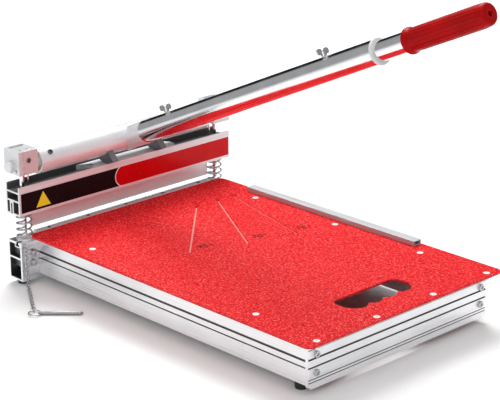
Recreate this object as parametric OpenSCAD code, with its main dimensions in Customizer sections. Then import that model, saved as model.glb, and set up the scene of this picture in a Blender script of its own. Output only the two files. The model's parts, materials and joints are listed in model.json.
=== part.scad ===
// Guillotine plank-flooring cutter: an aluminium bed with a red table, a spring-lifted blade
// carriage on two guide rods, and a cam tube turned by a long telescopic handle.
// Millimetres. +X runs along the blade, +Y away from the table, +Z up, and Z = 0 is the floor.

/* [Table] */
// Width of the red table along the blade
table_w = 360; // [340:1:380]
// Length of the red table away from the blade
table_l = 540; // [500:1:560]
// Thickness of the red table
table_t = 3; // [2:0.5:5]
// Height of the table's top above the floor
table_z = 72; // [68:0.5:76]
// Corner radius of the table
table_r = 10; // [6:1:14]
// Distance of the screw rows from the table's side edges
screw_inset = 28; // [26:1:32]

/* [Beams] */
// Length of the upper and lower beams
beam_l = 390; // [384:1:400]
// Depth of the upper and lower beams
beam_d = 30; // [28:1:32]
// Height of the lower beam
lower_h = 56; // [54:1:56]
// Height of the upper beam's box
upper_h = 41; // [38:1:42]
// Height of the upper beam's underside above the floor
upper_z = 102; // [100:1:104]
// Wall thickness of the beam profiles
beam_wall = 2.5; // [2:0.25:3.5]

/* [Blade] */
// Length of the blade
blade_l = 330; // [310:1:330]
// Thickness of the blade
blade_t = 3; // [2:0.5:4]
// Gap between the blade's edge and the anvil at rest
blade_gap = 5; // [4:0.5:6]

/* [Guides] */
// Distance of each guide rod from the middle of the beams
rod_x = 178; // [176:0.5:180]
// Diameter of the guide rods
rod_dia = 8; // [6:0.5:10]
// Outer diameter of the return springs
spring_dia = 23; // [20:0.5:23]
// Wire diameter of the return springs
spring_wire = 2.6; // [2:0.1:3]
// Number of coils in each return spring
spring_turns = 4; // [3:1:6]

/* [Lever] */
// Height of the cam tube's axis above the floor
axis_z = 171; // [170.5:0.25:172]
// Outer diameter of the cam tube
tube_dia = 36.5; // [35:0.25:36.5]
// Distance of the handle from the middle of the beams
handle_x = 10; // [0:1:12]
// Angle of the handle above the horizontal
handle_tilt = 24; // [15:0.5:30]
// Distance that the handle's axis passes below the cam tube's axis
handle_drop = 3.5; // [0:0.5:4]
// Outer diameter of the outer handle tube
outer_dia = 33; // [30:0.5:34]
// Outer diameter of the inner handle tube
inner_dia = 26.5; // [24:0.5:27]
// Distance from the cam tube's axis to the end of the outer handle tube
outer_end = 526; // [500:1:530]
// Distance from the cam tube's axis to the grip's flange
grip_start = 579; // [570:0.5:590]
// Length of the grip
grip_l = 131; // [120:0.5:150]
// Carriage travel for each degree of the lever
cam_rate = 0.18; // [0.1:0.01:0.18]

/* [Hidden] */
$fn = 64;

// Clearances
run_gap = 0.05;
cam_gap = 0.1;

// Screws: shank radius, head radius, head height, and the hole each one runs in
screw_r = 2;
screw_hole_r = screw_r + run_gap;
table_head_r = 4.4;
table_screw_l = 10;
small_r = 1.45;
small_hole_r = 1.5;
small_head_r = 3;
small_head_h = 2;
anvil_head_r = 3.1;
anvil_hole_r = 1.6;
anvil_screw_l = 14;
rail_head_r = 3.4;
rail_head_h = 3;
rail_screw_l = 18;
end_head_r = 4.5;
end_head_h = 3;
bolt_r = 2.5;
bolt_hole_r = 2.6;
bolt_head_r = 4.6;
bolt_head_h = 4;
washer_r = 5.6;
washer_t = 1.2;
foot_head_r = 3.8;
foot_head_h = 2;
presser_screw_r = 1.75;
presser_head_r = 3.5;
blade_screw_r = 1.95;
blade_head_r = 4;
blade_head_h = 3;
tube_head_r = 3.6;
tube_head_h = 2.5;
cover_head_r = 3.4;
cover_head_h = 1.8;
set_screw_r = 1.5;
set_screw_l = 8.5;
set_screw_y = -9;

// Table and rails
spring_r = spring_dia / 2;
table_back = -12;
table_front = table_back - table_l;
table_under = table_z - table_t;
end_inset_x = 15;
end_inset_y = 15;
end_rail_t = 6;
end_rail_z = 8;
end_rail_h = table_under - end_rail_z;
end_rail_y = table_front + end_inset_y;
rail_inset = 15;
rail_w = 25;
rail_z = 12.5;
rail_h = table_under - rail_z;
rail_l = -beam_d / 2 - end_rail_y - end_rail_t;
groove_depth = 1.6;
screw_port_z = [28, 52];
port_w = 9;
screw_rows = [-105, -265, -421.5];
front_row = -10;
front_row_step = 105;

// Hand slot and angle slots in the table
hand_l = 118;
hand_w = 34;
hand_y = table_back - 458 - hand_w / 2;
hand_r = 11;
finger_count = 4;
finger_r = 16.5;
finger_depth = 7;
angle_slots = [[64.7, 45], [105.2, 30], [135.7, 15]];
angle_slot_start = -85.6;
angle_slot_l = 187;
angle_slot_w = 2.4;
angle_slot_depth = 1.2;
angle_hole_r = 2.5;

// Fence
fence_w = 14.5;
fence_h = 7;
fence_l = 325;
fence_x = table_w / 2 - 2 - fence_w;
fence_y = -412;
fence_wall = 1.4;
fence_screw_y = [40, 162, 285];

// Feet
foot_r = 9;
foot_top_z = 7;
beam_foot_x = 183;
rail_foot_y = table_front + 40;
foot_spots = [
  [-beam_foot_x, 0, foot_top_z], [beam_foot_x, 0, foot_top_z],
  [-table_w / 2 + rail_inset + rail_w / 2, rail_foot_y, rail_z],
  [table_w / 2 - rail_inset - rail_w / 2, rail_foot_y, rail_z]
];

// Lower beam
lower_z = foot_top_z;
lower_top = lower_z + lower_h;
rib_count = 9;
rib_pitch = 5.6;
slot_neck = 4.4;
slot_room = 8;
slot_depth = 3;
lower_web_z = lower_z + 31;
slot_neck_y = -5.5;
bolt_x = 176;
bolt_z = [46, 32];

// Anvil
anvil_w = 13;
anvil_l = 324;
anvil_step = 70;

// Upper beam
upper_top = upper_z + upper_h;
label_t = 0.3;
label_seam = -27;
channel_w = 25;
channel_d = 7;
back_rise = 2.5;
web_z = upper_z + 19;

// Blade
blade_edge_z = table_z + blade_gap;
blade_y = 1.7;
blade_top_z = upper_z + 16;
slot_wall = 2.5;
blade_bevel = 5;
blade_screw_step = 70;
blade_screw_z = upper_z + 8;
blade_screw_l = beam_d / 2 - blade_y + slot_wall + 0.2;

// Guides and springs
rod_r = rod_dia / 2;
bush_r = 6;
seat_t = 2;
seat_r = 11.5;
seat_low_z = lower_top;
seat_high_z = upper_z - seat_t;
spring_low = seat_low_z + seat_t;
spring_high = seat_high_z;
rod_low = lower_z + 5;
block_low = 160;
block_h = 34;
block_top = block_low + block_h;
rod_high = block_top - 4;

// Blocks
block_w = 32;
block_x = 162;
block_mid = block_x + block_w / 2;
cover_w = 27;
cover_t = 2;
stud_x = block_x + 6;
stud_r = 1.5;
cover_screw_z = axis_z + 9;
top_screw_x = [12, 24];
axle_r = 7;
axle_head_r = 8.2;
axle_head_l = 8;
axle_l = 66;
pin_hole_r = 2.7;
pin_hole_y = -10;
pin_hole_drop = 5;
pin_hole_l = 12;
top_slot_inset = 4;
top_slot_y = 6.5;
top_slot_w = 7;
top_slot_d = 8;

// Cam tube and cams
tube_r = tube_dia / 2;
tube_wall = 2.5;
tube_gap = 7;
tube_end = block_x - tube_gap;
bush_l = 18;
bush_x = 130;
presser_top = upper_top + 0.3;
cam_rest = axis_z - presser_top - cam_gap;
cam_k = cam_rate * 180 / PI;
cam_down = 31;
cam_up = 50;
cam_w = 10;
cam_spread = 45;
presser_l = 170;
presser_w = 24;
presser_screw_x = 66;
presser_t = presser_top - (upper_top - channel_d);

// Handle, measured along its own axis from the cam tube's axis
outer_r = outer_dia / 2;
inner_r = inner_dia / 2;
outer_wall = 2;
bore_r = outer_r - outer_wall;
stub_end = 48;
stub_r = outer_r + 0.3;
spigot_end = 120;
spigot_wall = 2.5;
collar_l = 27;
collar_r = outer_r + 0.9;
inner_wall = 1.8;
inner_start = 255;
guide_l = 18;
grip_r = 15.2;
grip_chamfer = 3;
flange_r = 17;
flange_l = 5;
grip_end = grip_start + grip_l;
clamp_at = 103;
extension_at = 433;
wing_shank_r = 3;

// Chain and lock pin, on the left end
chain_wire = 0.75;
link_in = 2.3;
link_straight = 3.6;
link_play = 0.2;
link_pitch = link_straight + link_in - link_play;
hang_links = 7;
bend_links = 4;
floor_links = 14;
link_total = hang_links + bend_links + floor_links;
bend_step = 90 / bend_links;
floor_turn = 238;
first_twist = 55;
lay_z = 2.75;
eye_x = -190.5;
eye_in = 2.3;
eye_wire = 0.9;
eye_base = 1.5;
hang_y = -beam_d / 2 - eye_base - eye_in - eye_wire;

// How far a link leans away from straight down, and where its upper end is
function lean(i) = i < hang_links ? 0 : min(90, (i - hang_links + 0.5) * bend_step);
function link_out(i) = i <= 0 ? 0 : link_out(i - 1) + link_pitch * sin(lean(i - 1));
function link_fall(i) = i <= 0 ? 0 : link_fall(i - 1) + link_pitch * cos(lean(i - 1));
chain_top = lay_z + link_fall(link_total);
eye_z = chain_top + eye_in;
chain_reach = link_out(link_total);
ring_r = 8.5;
ring_wire = 0.9;
ring_out = chain_reach - ring_wire - link_play + ring_r;
ring_spot = [eye_x + ring_out * cos(floor_turn), hang_y + ring_out * sin(floor_turn)];
pin_r = 2.65;
pin_l = 60;
pin_turn = -44.3;
pin_start = 4.5;
pin_taper = 3;

// The frame's origin is on the floor, under the middle of everything but the loose chain
y_high = beam_d / 2 + 3;
y_low = -grip_end * cos(handle_tilt) - (grip_r - grip_chamfer) * sin(handle_tilt);
frame_y = (y_low + y_high) / 2;

// ---------------------------------------------------------------- helpers

// Puts a piece into the part's own frame
module place() {
  translate([0, -frame_y, 0])
    children();
}

// Extrudes a Y-Z outline along X, centred on X = 0
module along_x(l) {
  rotate([90, 0, 90])
    linear_extrude(height = l, center = true)
      children();
}

// Repeats a piece at the left and right ends
module both_ends() {
  children();
  mirror([1, 0, 0])
    children();
}

// Moves into the handle's own axis, with +Z pointing out along the handle
module along_handle(t = 0) {
  translate([handle_x, 0, axis_z - handle_drop])
    rotate([90 - handle_tilt, 0, 0])
      translate([0, 0, t])
        children();
}

// A tube along +Z
module tube(r, inner, l) {
  difference() {
    cylinder(r = r, h = l);
    translate([0, 0, -1])
      cylinder(r = inner, h = l + 2);
  }
}

// A hexagonal recess that points down from Z = 0
module hex_recess(r, d) {
  translate([0, 0, -d])
    cylinder(r = r, h = d + 1, $fn = 6);
}

// A cap screw: head above Z = 0, shank below
module cap_screw(head_r, head_h, shank_r, shank_l) {
  difference() {
    union() {
      cylinder(r = head_r, h = head_h - 0.5);
      translate([0, 0, head_h - 0.5])
        cylinder(r1 = head_r, r2 = head_r - 0.5, h = 0.5);
      translate([0, 0, -shank_l])
        cylinder(r = shank_r, h = shank_l + 0.5);
    }
    translate([0, 0, head_h])
      hex_recess(head_r * 0.55, head_h * 0.6);
  }
}

// A countersunk screw with its flat head at Z = 0
module flat_screw(head_r, shank_r, shank_l) {
  head_h = head_r - shank_r;
  difference() {
    union() {
      translate([0, 0, -head_h])
        cylinder(r1 = shank_r, r2 = head_r, h = head_h);
      translate([0, 0, -shank_l])
        cylinder(r = shank_r, h = shank_l);
    }
    hex_recess(shank_r * 0.75, head_h * 0.8);
  }
}

// The hole that flat_screw sits in
module flat_hole(head_r, shank_r, l) {
  head_h = head_r - shank_r;
  translate([0, 0, -head_h])
    cylinder(r1 = shank_r, r2 = head_r, h = head_h);
  cylinder(r = head_r, h = 1);
  translate([0, 0, -l])
    cylinder(r = shank_r, h = l);
}

// ---------------------------------------------------------------- table

// Positions of the table's screws
function table_screw_spots() = concat(
  [for (side = [-1, 1], row = screw_rows) if (!(side < 0 && row == screw_rows[1]))
    [side * (table_w / 2 - screw_inset), table_back + row + 0.5]],
  [for (i = [-1.5:1:1.5]) [i * front_row_step, table_front - front_row]]
);

module rounded_plate(w, l, t, r) {
  linear_extrude(height = t)
    union() {
      translate([r, 0])
        square([w - 2 * r, l]);
      translate([0, r])
        square([w, l - 2 * r]);
      for (x = [r, w - r], y = [r, l - r])
        translate([x, y])
          circle(r = r);
    }
}

// The hand slot's outline, with scallops for the fingers along its front
module hand_outline() {
  union() {
    translate([-hand_l / 2 + hand_r, -hand_w / 2])
      square([hand_l - 2 * hand_r, hand_w]);
    translate([-hand_l / 2, -hand_w / 2 + hand_r])
      square([hand_l, hand_w - 2 * hand_r]);
    for (x = [-1, 1], y = [-1, 1])
      translate([x * (hand_l / 2 - hand_r), y * (hand_w / 2 - hand_r)])
        circle(r = hand_r);
    for (i = [0:finger_count - 1])
      translate([(i - (finger_count - 1) / 2) * hand_l / (finger_count + 0.4),
                 -hand_w / 2 - finger_depth + finger_r])
        circle(r = finger_r);
  }
}

module red_table() {
  color("red")
    place()
      difference() {
        translate([-table_w / 2, table_front, table_under])
          rounded_plate(table_w, table_l, table_t, table_r);
        for (p = table_screw_spots())
          translate([p[0], p[1], table_z])
            flat_hole(table_head_r + 0.1, screw_r + 0.1, 6);
        for (s = angle_slots)
          translate([s[0], angle_slot_start, table_z])
            rotate([0, 0, -s[1]]) {
              translate([-angle_slot_w / 2, -angle_slot_l, -angle_slot_depth])
                cube([angle_slot_w, angle_slot_l, angle_slot_depth + 1]);
              for (y = [0, -angle_slot_l])
                translate([0, y, -table_t - 1])
                  cylinder(r = angle_hole_r, h = table_t + 2);
            }
        translate([0, hand_y, table_under - 1])
          linear_extrude(height = table_t + 2)
            hand_outline();
        for (y = fence_screw_y)
          translate([fence_x + fence_w / 2, fence_y + y, table_under - 1])
            cylinder(r = small_hole_r, h = table_t + 2);
      }
}

module table_screws() {
  color("white")
    place()
      for (p = table_screw_spots())
        translate([p[0], p[1], table_z])
          flat_screw(table_head_r, screw_r, table_screw_l);
}

module fence() {
  color("silver")
    place()
      difference() {
        translate([fence_x, fence_y, table_z])
          cube([fence_w, fence_l, fence_h]);
        translate([fence_x + fence_wall, fence_y - 1, table_z + fence_wall])
          cube([fence_w - 2 * fence_wall, fence_l + 2, fence_h - 2 * fence_wall]);
        for (y = fence_screw_y)
          translate([fence_x + fence_w / 2, fence_y + y, table_z - 1])
            cylinder(r = small_hole_r, h = 4);
      }
}

module fence_screws() {
  color("silver")
    place()
      for (y = fence_screw_y)
        translate([fence_x + fence_w / 2, fence_y + y, table_under])
          mirror([0, 0, 1])
            cap_screw(small_head_r, small_head_h, small_r, table_t + 3);
}

// ---------------------------------------------------------------- rails

// Outline of a side rail: X to the right, Y up, grooved outer face at X = 0
module side_rail_outline() {
  wall = 2.5;
  web = 38 - rail_z;
  top = 62.5 - rail_z;
  groove_z = [[61 - rail_z, 1.2], [44.5 - rail_z, 3.2], [35.2 - rail_z, 2]];
  left = wall + groove_depth;
  difference() {
    square([rail_w, rail_h]);
    difference() {
      translate([left, wall])
        square([rail_w - wall - left, web - wall]);
      translate([rail_w / 2 - port_w / 2, 0])
        square([port_w, screw_port_z[0] + port_w / 2 - rail_z]);
    }
    difference() {
      translate([left, web + wall])
        square([rail_w - wall - left, top - web - wall]);
      translate([rail_w / 2 - port_w / 2, screw_port_z[1] - port_w / 2 - rail_z])
        square([port_w, top]);
    }
    for (g = groove_z)
      translate([-1, g[0] - g[1] / 2])
        square([1 + groove_depth, g[1]]);
  }
}

module side_rail() {
  port_x = -table_w / 2 + rail_inset + rail_w / 2;
  difference() {
    translate([-table_w / 2 + rail_inset, -beam_d / 2, rail_z])
      rotate([90, 0, 0])
        linear_extrude(height = rail_l)
          side_rail_outline();
    for (p = table_screw_spots())
      translate([p[0], p[1], table_under - 8])
        cylinder(r = screw_hole_r, h = 10);
    mirror([1, 0, 0])
      for (p = table_screw_spots())
        translate([p[0], p[1], table_under - 8])
          cylinder(r = screw_hole_r, h = 10);
    translate([foot_spots[2][0], foot_spots[2][1], rail_z - 1])
      cylinder(r = screw_hole_r, h = 11);
    for (z = screw_port_z, y = [end_rail_y + end_rail_t - 1, -beam_d / 2 - 17])
      translate([port_x, y, z])
        rotate([-90, 0, 0])
          cylinder(r = screw_hole_r, h = 18);
  }
}

module side_rail_left() {
  color("silver")
    place()
      side_rail();
}

module side_rail_right() {
  color("silver")
    place()
      mirror([1, 0, 0])
        side_rail();
}

// End rail: a grooved skirt with rounded lower corners
module end_rail() {
  half = table_w / 2 - end_inset_x;
  corner = 5;
  flange_t = 3;
  groove_z = [[59, 1.2], [46.8, 2.6], [35.8, 2.2], [20.4, 1.2], [16.6, 1.2]];
  color("silver")
    place()
      difference() {
        union() {
          translate([0, end_rail_y + end_rail_t, 0])
            rotate([90, 0, 0])
              linear_extrude(height = end_rail_t)
                union() {
                  translate([-half, end_rail_z + corner])
                    square([2 * half, end_rail_h - corner]);
                  translate([-half + corner, end_rail_z])
                    square([2 * (half - corner), 2 * corner]);
                  for (x = [-1, 1])
                    translate([x * (half - corner), end_rail_z + corner])
                      circle(r = corner);
                }
          translate([-half, table_front + 4, table_under - flange_t])
            cube([2 * half, end_rail_y - table_front, flange_t]);
        }
        for (g = groove_z)
          translate([-half - 1, end_rail_y - 1, g[0] - g[1] / 2])
            cube([2 * half + 2, 1 + groove_depth, g[1]]);
        end_screw_places()
          cylinder(r = screw_hole_r, h = 40, center = true);
        for (i = [-1.5:1:1.5])
          translate([i * front_row_step, table_front - front_row, table_under - flange_t - 1])
            cylinder(r = screw_hole_r, h = flange_t + 2);
      }
}

// Where the end rail's screws go: -Y is up from the head
module end_screw_places() {
  for (side = [-1, 1], z = screw_port_z)
    translate([side * (table_w / 2 - rail_inset - rail_w / 2), end_rail_y, z])
      rotate([90, 0, 0])
        children();
}

module end_rail_screws() {
  color("dimgray")
    place()
      end_screw_places()
        cap_screw(end_head_r, end_head_h, screw_r, rail_screw_l);
}

// ---------------------------------------------------------------- lower beam

module lower_beam_outline() {
  half = beam_d / 2;
  front = -half + beam_wall + 1;
  room = half - beam_wall - front;
  roof_z = lower_top - slot_depth;
  box_w = slot_room + 3;
  difference() {
    translate([-half, lower_z])
      square([beam_d, lower_h]);
    translate([front, lower_z + beam_wall])
      square([room, lower_web_z - lower_z - beam_wall]);
    difference() {
      translate([front, lower_web_z + beam_wall])
        square([room, roof_z - lower_web_z - beam_wall]);
      translate([slot_neck_y - box_w / 2, roof_z - 4.5])
        square([box_w, 5]);
    }
    translate([slot_neck_y - slot_room / 2, roof_z - slot_depth])
      square([slot_room, slot_depth]);
    translate([slot_neck_y - slot_neck / 2, roof_z - 1])
      square([slot_neck, 5]);
    for (i = [0:rib_count - 1])
      translate([-half - 1, lower_z + 4 + i * rib_pitch])
        square([1.9, 1.6]);
  }
}

module lower_beam() {
  color("gainsboro")
    place()
      difference() {
        along_x(beam_l)
          lower_beam_outline();
        both_ends()
          translate([rod_x, 0, rod_low])
            cylinder(r = rod_r + run_gap, h = lower_h);
        both_ends()
          translate([beam_foot_x, 0, lower_z - 1])
            cylinder(r = screw_hole_r, h = 5);
        both_ends()
          for (z = bolt_z)
            translate([bolt_x, -beam_d / 2 - 1, z])
              rotate([-90, 0, 0])
                cylinder(r = bolt_hole_r, h = 8);
        both_ends()
          translate([table_w / 2 - rail_inset - rail_w / 2, -beam_d / 2 - 1, 0])
            for (z = screw_port_z)
              translate([0, 0, z])
                rotate([-90, 0, 0])
                  cylinder(r = screw_hole_r, h = 6);
        translate([eye_x, -beam_d / 2 - 1, eye_z])
          rotate([-90, 0, 0])
            cylinder(r = 1.5, h = 5);
      }
}

// Cap screws inside the lower beam that hold the side rails
module rail_bolts() {
  color("dimgray")
    place()
      both_ends()
        for (z = screw_port_z)
          translate([table_w / 2 - rail_inset - rail_w / 2, -beam_d / 2 + beam_wall + 1, z])
            rotate([-90, 0, 0])
              cap_screw(rail_head_r, rail_head_h, screw_r, rail_screw_l);
}

// Cap bolts with washers on the lower beam's ribbed face
module beam_bolts() {
  color("whitesmoke")
    place()
      both_ends()
        for (z = bolt_z)
          translate([bolt_x, -beam_d / 2, z])
            rotate([90, 0, 0])
              union() {
                tube(washer_r, bolt_r, washer_t);
                translate([0, 0, washer_t])
                  cap_screw(bolt_head_r, bolt_head_h, bolt_r, 6);
              }
}

module rubber_feet() {
  color("black")
    place()
      for (p = foot_spots)
        translate([p[0], p[1], 0])
          difference() {
            union() {
              cylinder(r1 = foot_r - 1.5, r2 = foot_r, h = p[2] - 1.5);
              translate([0, 0, p[2] - 1.5])
                cylinder(r = foot_r, h = 1.5);
            }
            translate([0, 0, -1])
              cylinder(r = 4, h = 4);
            cylinder(r = screw_hole_r, h = p[2] + 1);
          }
}

module foot_screws() {
  color("dimgray")
    place()
      for (p = foot_spots)
        translate([p[0], p[1], 3])
          mirror([0, 0, 1])
            cap_screw(foot_head_r, foot_head_h, screw_r, p[2]);
}

// ---------------------------------------------------------------- anvil

module anvil_screw_places() {
  for (i = [-2:2])
    translate([i * anvil_step, slot_neck_y, table_z])
      children();
}

module anvil_bar() {
  color("white")
    place()
      difference() {
        translate([-anvil_l / 2, table_back + 0.5, lower_top])
          cube([anvil_l, anvil_w, table_z - lower_top]);
        anvil_screw_places()
          flat_hole(anvil_head_r + 0.1, anvil_hole_r, 12);
      }
}

// Square nuts in the lower beam's slot, under the anvil
module anvil_nuts() {
  color("silver")
    place()
      anvil_screw_places()
        translate([0, 0, lower_top - 5.9 - table_z])
          difference() {
            translate([-5, -slot_room / 2 + 0.2, 0])
              cube([10, slot_room - 0.4, 2.7]);
            translate([0, 0, -1])
              cylinder(r = small_hole_r, h = 5);
          }
}

module anvil_screws() {
  color("silver")
    place()
      anvil_screw_places()
        flat_screw(anvil_head_r, small_r, anvil_screw_l);
}

// ---------------------------------------------------------------- guides and springs

module guide_rod() {
  translate([rod_x, 0, rod_low + 1])
    union() {
      cylinder(r = rod_r, h = rod_high - rod_low - 1);
      translate([0, 0, rod_high - rod_low - 1])
        cylinder(r1 = rod_r, r2 = rod_r - 0.8, h = 0.8);
    }
}

module guide_rod_left() {
  color("whitesmoke")
    place()
      mirror([1, 0, 0])
        guide_rod();
}

module guide_rod_right() {
  color("whitesmoke")
    place()
      guide_rod();
}

// Steel blocks inside the lower beam that the rods stand in and the cap bolts hold
module rod_anchors() {
  anchor_l = 20;
  anchor_h = 13.5;
  depth = beam_d - 2 * beam_wall - 1.6;
  color("silver")
    place()
      both_ends()
        for (z = [lower_web_z - anchor_h - 0.1, lower_web_z + beam_wall + 0.1])
          difference() {
            translate([rod_x - anchor_l / 2, -beam_d / 2 + beam_wall + 1.3, z])
              cube([anchor_l, depth, anchor_h]);
            translate([rod_x, 0, z - 1])
              cylinder(r = rod_r + run_gap, h = anchor_h + 2);
            for (bolt = bolt_z)
              translate([bolt_x, -beam_d / 2, bolt])
                rotate([-90, 0, 0])
                  cylinder(r = bolt_r + run_gap, h = 8);
          }
}

module lower_spring_seats() {
  color("white")
    place()
      both_ends()
        translate([rod_x, 0, seat_low_z])
          tube(seat_r, rod_r + run_gap, seat_t);
}

// A return spring: an eight-sided ring of points swept along a helix
module return_spring() {
  steps = 20;
  total = spring_turns * steps;
  mean_r = spring_r - spring_wire / 2;
  rise = spring_high - spring_low - spring_wire;
  sides = 8;
  ring = [for (i = [0:total], k = [0:sides - 1])
    let (a = 360 * i / steps, b = 360 * k / sides, r = mean_r + spring_wire / 2 * cos(b))
    [r * cos(a), r * sin(a), spring_low + spring_wire / 2 + rise * i / total
      + spring_wire / 2 * sin(b)]];
  walls = [for (i = [0:total - 1], k = [0:sides - 1])
    let (n = (k + 1) % sides)
    [i * sides + k, i * sides + n, (i + 1) * sides + n, (i + 1) * sides + k]];
  polyhedron(
    points = ring,
    faces = concat(
      [[for (k = [sides - 1:-1:0]) k]],
      [[for (k = [0:sides - 1]) total * sides + k]],
      walls
    )
  );
}

module spring_left() {
  color("silver")
    place()
      translate([-rod_x, 0, 0])
        return_spring();
}

module spring_right() {
  color("silver")
    place()
      translate([rod_x, 0, 0])
        return_spring();
}

// ---------------------------------------------------------------- end blocks

// The right-hand block; the left one is its mirror image
module end_block() {
  front = -beam_d / 2;
  deep = beam_d + cover_t;
  difference() {
    union() {
      translate([block_x, front, block_low])
        cube([block_w, deep, block_h]);
      translate([block_x + cover_w + 0.2, front - cover_t, block_low])
        cube([block_w - cover_w - 0.2, cover_t + 1, block_h]);
    }
    translate([block_mid, 0, axis_z])
      rotate([0, 90, 0])
        cylinder(r = axle_r + run_gap, h = block_w + 2, center = true);
    translate([rod_x, 0, block_low - 1])
      cylinder(r = rod_r + run_gap, h = rod_high - block_low + 2);
    translate([block_x + top_slot_inset, top_slot_y, block_top - top_slot_d])
      cube([block_w - 2 * top_slot_inset, top_slot_w, top_slot_d + 1]);
    for (x = top_screw_x)
      translate([block_x + x, set_screw_y, block_top - set_screw_l - 0.5])
        cylinder(r = set_screw_r + 0.1, h = set_screw_l + 2);
    translate([block_x + block_w - pin_hole_l, pin_hole_y, axis_z - pin_hole_drop])
      rotate([0, 90, 0])
        cylinder(r = pin_hole_r, h = pin_hole_l + 1);
    translate([rod_x, front - cover_t - 1, cover_screw_z])
      rotate([-90, 0, 0])
        cylinder(r = screw_hole_r, h = 15);
    translate([stud_x, 0, block_low - 1])
      cylinder(r = stud_r + run_gap, h = 5.1);
  }
}

module left_block() {
  color("gainsboro")
    place()
      mirror([1, 0, 0])
        end_block();
}

module right_block() {
  color("gainsboro")
    place()
      end_block();
}

module block_cover_plates() {
  color("lightgray")
    place()
      both_ends()
        difference() {
          translate([block_x, -beam_d / 2 - cover_t, block_low])
            cube([cover_w, cover_t, block_h]);
          translate([rod_x, -beam_d / 2 - cover_t - 1, cover_screw_z])
            rotate([-90, 0, 0])
              cylinder(r = screw_hole_r, h = cover_t + 2);
        }
}

// Cover-plate screws, which also clamp the rods, and two set screws in the top of each block
module block_screws() {
  color("dimgray")
    place()
      both_ends() {
        translate([rod_x, -beam_d / 2 - cover_t, cover_screw_z])
          rotate([90, 0, 0])
            cap_screw(cover_head_r, cover_head_h, screw_r, 12.7);
        for (x = top_screw_x)
          translate([block_x + x, set_screw_y, block_top])
            flat_screw(set_screw_r, set_screw_r, set_screw_l);
      }
}

// Thin rods beside the guide rods, from the blocks down through the carriage
module side_rods() {
  color("silver")
    place()
      both_ends()
        translate([stud_x, 0, upper_z + 4])
          cylinder(r = stud_r, h = block_low + 4 - upper_z - 4);
}

module axle() {
  difference() {
    translate([block_x + block_w, 0, axis_z])
      rotate([0, 90, 0])
        union() {
          translate([0, 0, -axle_l])
            cylinder(r = axle_r, h = axle_l);
          cylinder(r = axle_head_r, h = axle_head_l - 1);
          translate([0, 0, axle_head_l - 1])
            cylinder(r1 = axle_head_r, r2 = axle_head_r - 1, h = 1);
        }
    translate([rod_x, 0, block_low])
      cylinder(r = rod_r + run_gap, h = block_h);
  }
}

module left_axle() {
  color("silver")
    place()
      mirror([1, 0, 0])
        axle();
}

module right_axle() {
  color("silver")
    place()
      axle();
}

// ---------------------------------------------------------------- carriage

// The channel's back wall is higher than its front lip
module upper_beam_outline() {
  half = beam_d / 2;
  inner = half - beam_wall;
  slot_l = blade_y - 0.05;
  slot_r = blade_y + blade_t + 0.05;
  floor_z = upper_z + beam_wall;
  difference() {
    union() {
      translate([-half, upper_z])
        square([beam_d, upper_h]);
      translate([channel_w / 2, upper_top - channel_d])
        square([half - channel_w / 2, channel_d + back_rise]);
    }
    translate([-channel_w / 2, upper_top - channel_d])
      square([channel_w, channel_d + 1]);
    translate([-inner, web_z + beam_wall])
      square([2 * inner, upper_top - channel_d - 2 * beam_wall - web_z]);
    translate([-inner, floor_z])
      square([inner + slot_l - slot_wall, web_z - floor_z]);
    translate([slot_r + slot_wall, floor_z])
      square([inner - slot_r - slot_wall, web_z - floor_z]);
    translate([slot_l, upper_z - 1])
      square([slot_r - slot_l, blade_top_z + 1.1 - upper_z]);
  }
}

module blade_screw_places() {
  for (i = [-2:2])
    translate([i * blade_screw_step, beam_d / 2, blade_screw_z])
      rotate([-90, 0, 0])
        children();
}

module upper_beam() {
  color("gainsboro")
    place()
      difference() {
        along_x(beam_l)
          upper_beam_outline();
        both_ends()
          translate([rod_x, 0, upper_z - 1])
            cylinder(r = bush_r, h = upper_h + back_rise + 2);
        both_ends()
          translate([stud_x, 0, upper_z - 1])
            cylinder(r = stud_r + 0.3, h = upper_h + 2);
        presser_screw_places()
          translate([0, 0, -presser_t - 4])
            cylinder(r = presser_screw_r + run_gap, h = 5);
        blade_screw_places()
          translate([0, 0, -blade_screw_l])
            cylinder(r = screw_hole_r, h = blade_screw_l + 1);
      }
}

// Flanged bushes that run on the guide rods; the flange is the spring's upper seat
module guide_bushes() {
  color("goldenrod")
    place()
      both_ends()
        translate([rod_x, 0, 0])
          difference() {
            union() {
              translate([0, 0, seat_high_z])
                cylinder(r = seat_r, h = seat_t);
              translate([0, 0, seat_high_z + 1])
                cylinder(r = bush_r, h = upper_top - channel_d - seat_high_z - 1);
            }
            translate([0, 0, seat_high_z - 1])
              cylinder(r = rod_r + run_gap, h = upper_h + 5);
            translate([-rod_x + stud_x, 0, seat_high_z - 1])
              cylinder(r = stud_r + 0.3, h = seat_t + 1.01);
          }
}

// The blade's outline, Y to the right and Z up, with its bevel on the back
module blade() {
  color("lightgray")
    place()
      difference() {
        along_x(blade_l)
          polygon([
            [blade_y, blade_edge_z],
            [blade_y + 0.3, blade_edge_z],
            [blade_y + blade_t, blade_edge_z + blade_bevel],
            [blade_y + blade_t, blade_top_z],
            [blade_y, blade_top_z]
          ]);
        blade_screw_places()
          cylinder(r = screw_hole_r, h = 40, center = true);
      }
}

module blade_screws() {
  color("dimgray")
    place()
      blade_screw_places()
        cap_screw(blade_head_r, blade_head_h, blade_screw_r, blade_screw_l - 0.1);
}

// Flat bar in the beam's top channel that the cams press on
module presser_bar() {
  half = presser_w / 2;
  color("lightgray")
    place()
      difference() {
        translate([handle_x - presser_l / 2, 0, upper_top - channel_d])
          linear_extrude(height = presser_t)
            difference() {
              union() {
                translate([0, -half])
                  square([presser_l - half, presser_w]);
                translate([presser_l - half, 0])
                  circle(r = half);
              }
              translate([0, half])
                rotate([0, 0, -110])
                  square([40, 20]);
            }
        presser_screw_places()
          flat_hole(presser_head_r + 0.1, presser_screw_r + run_gap, presser_t + 6);
      }
}

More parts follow.
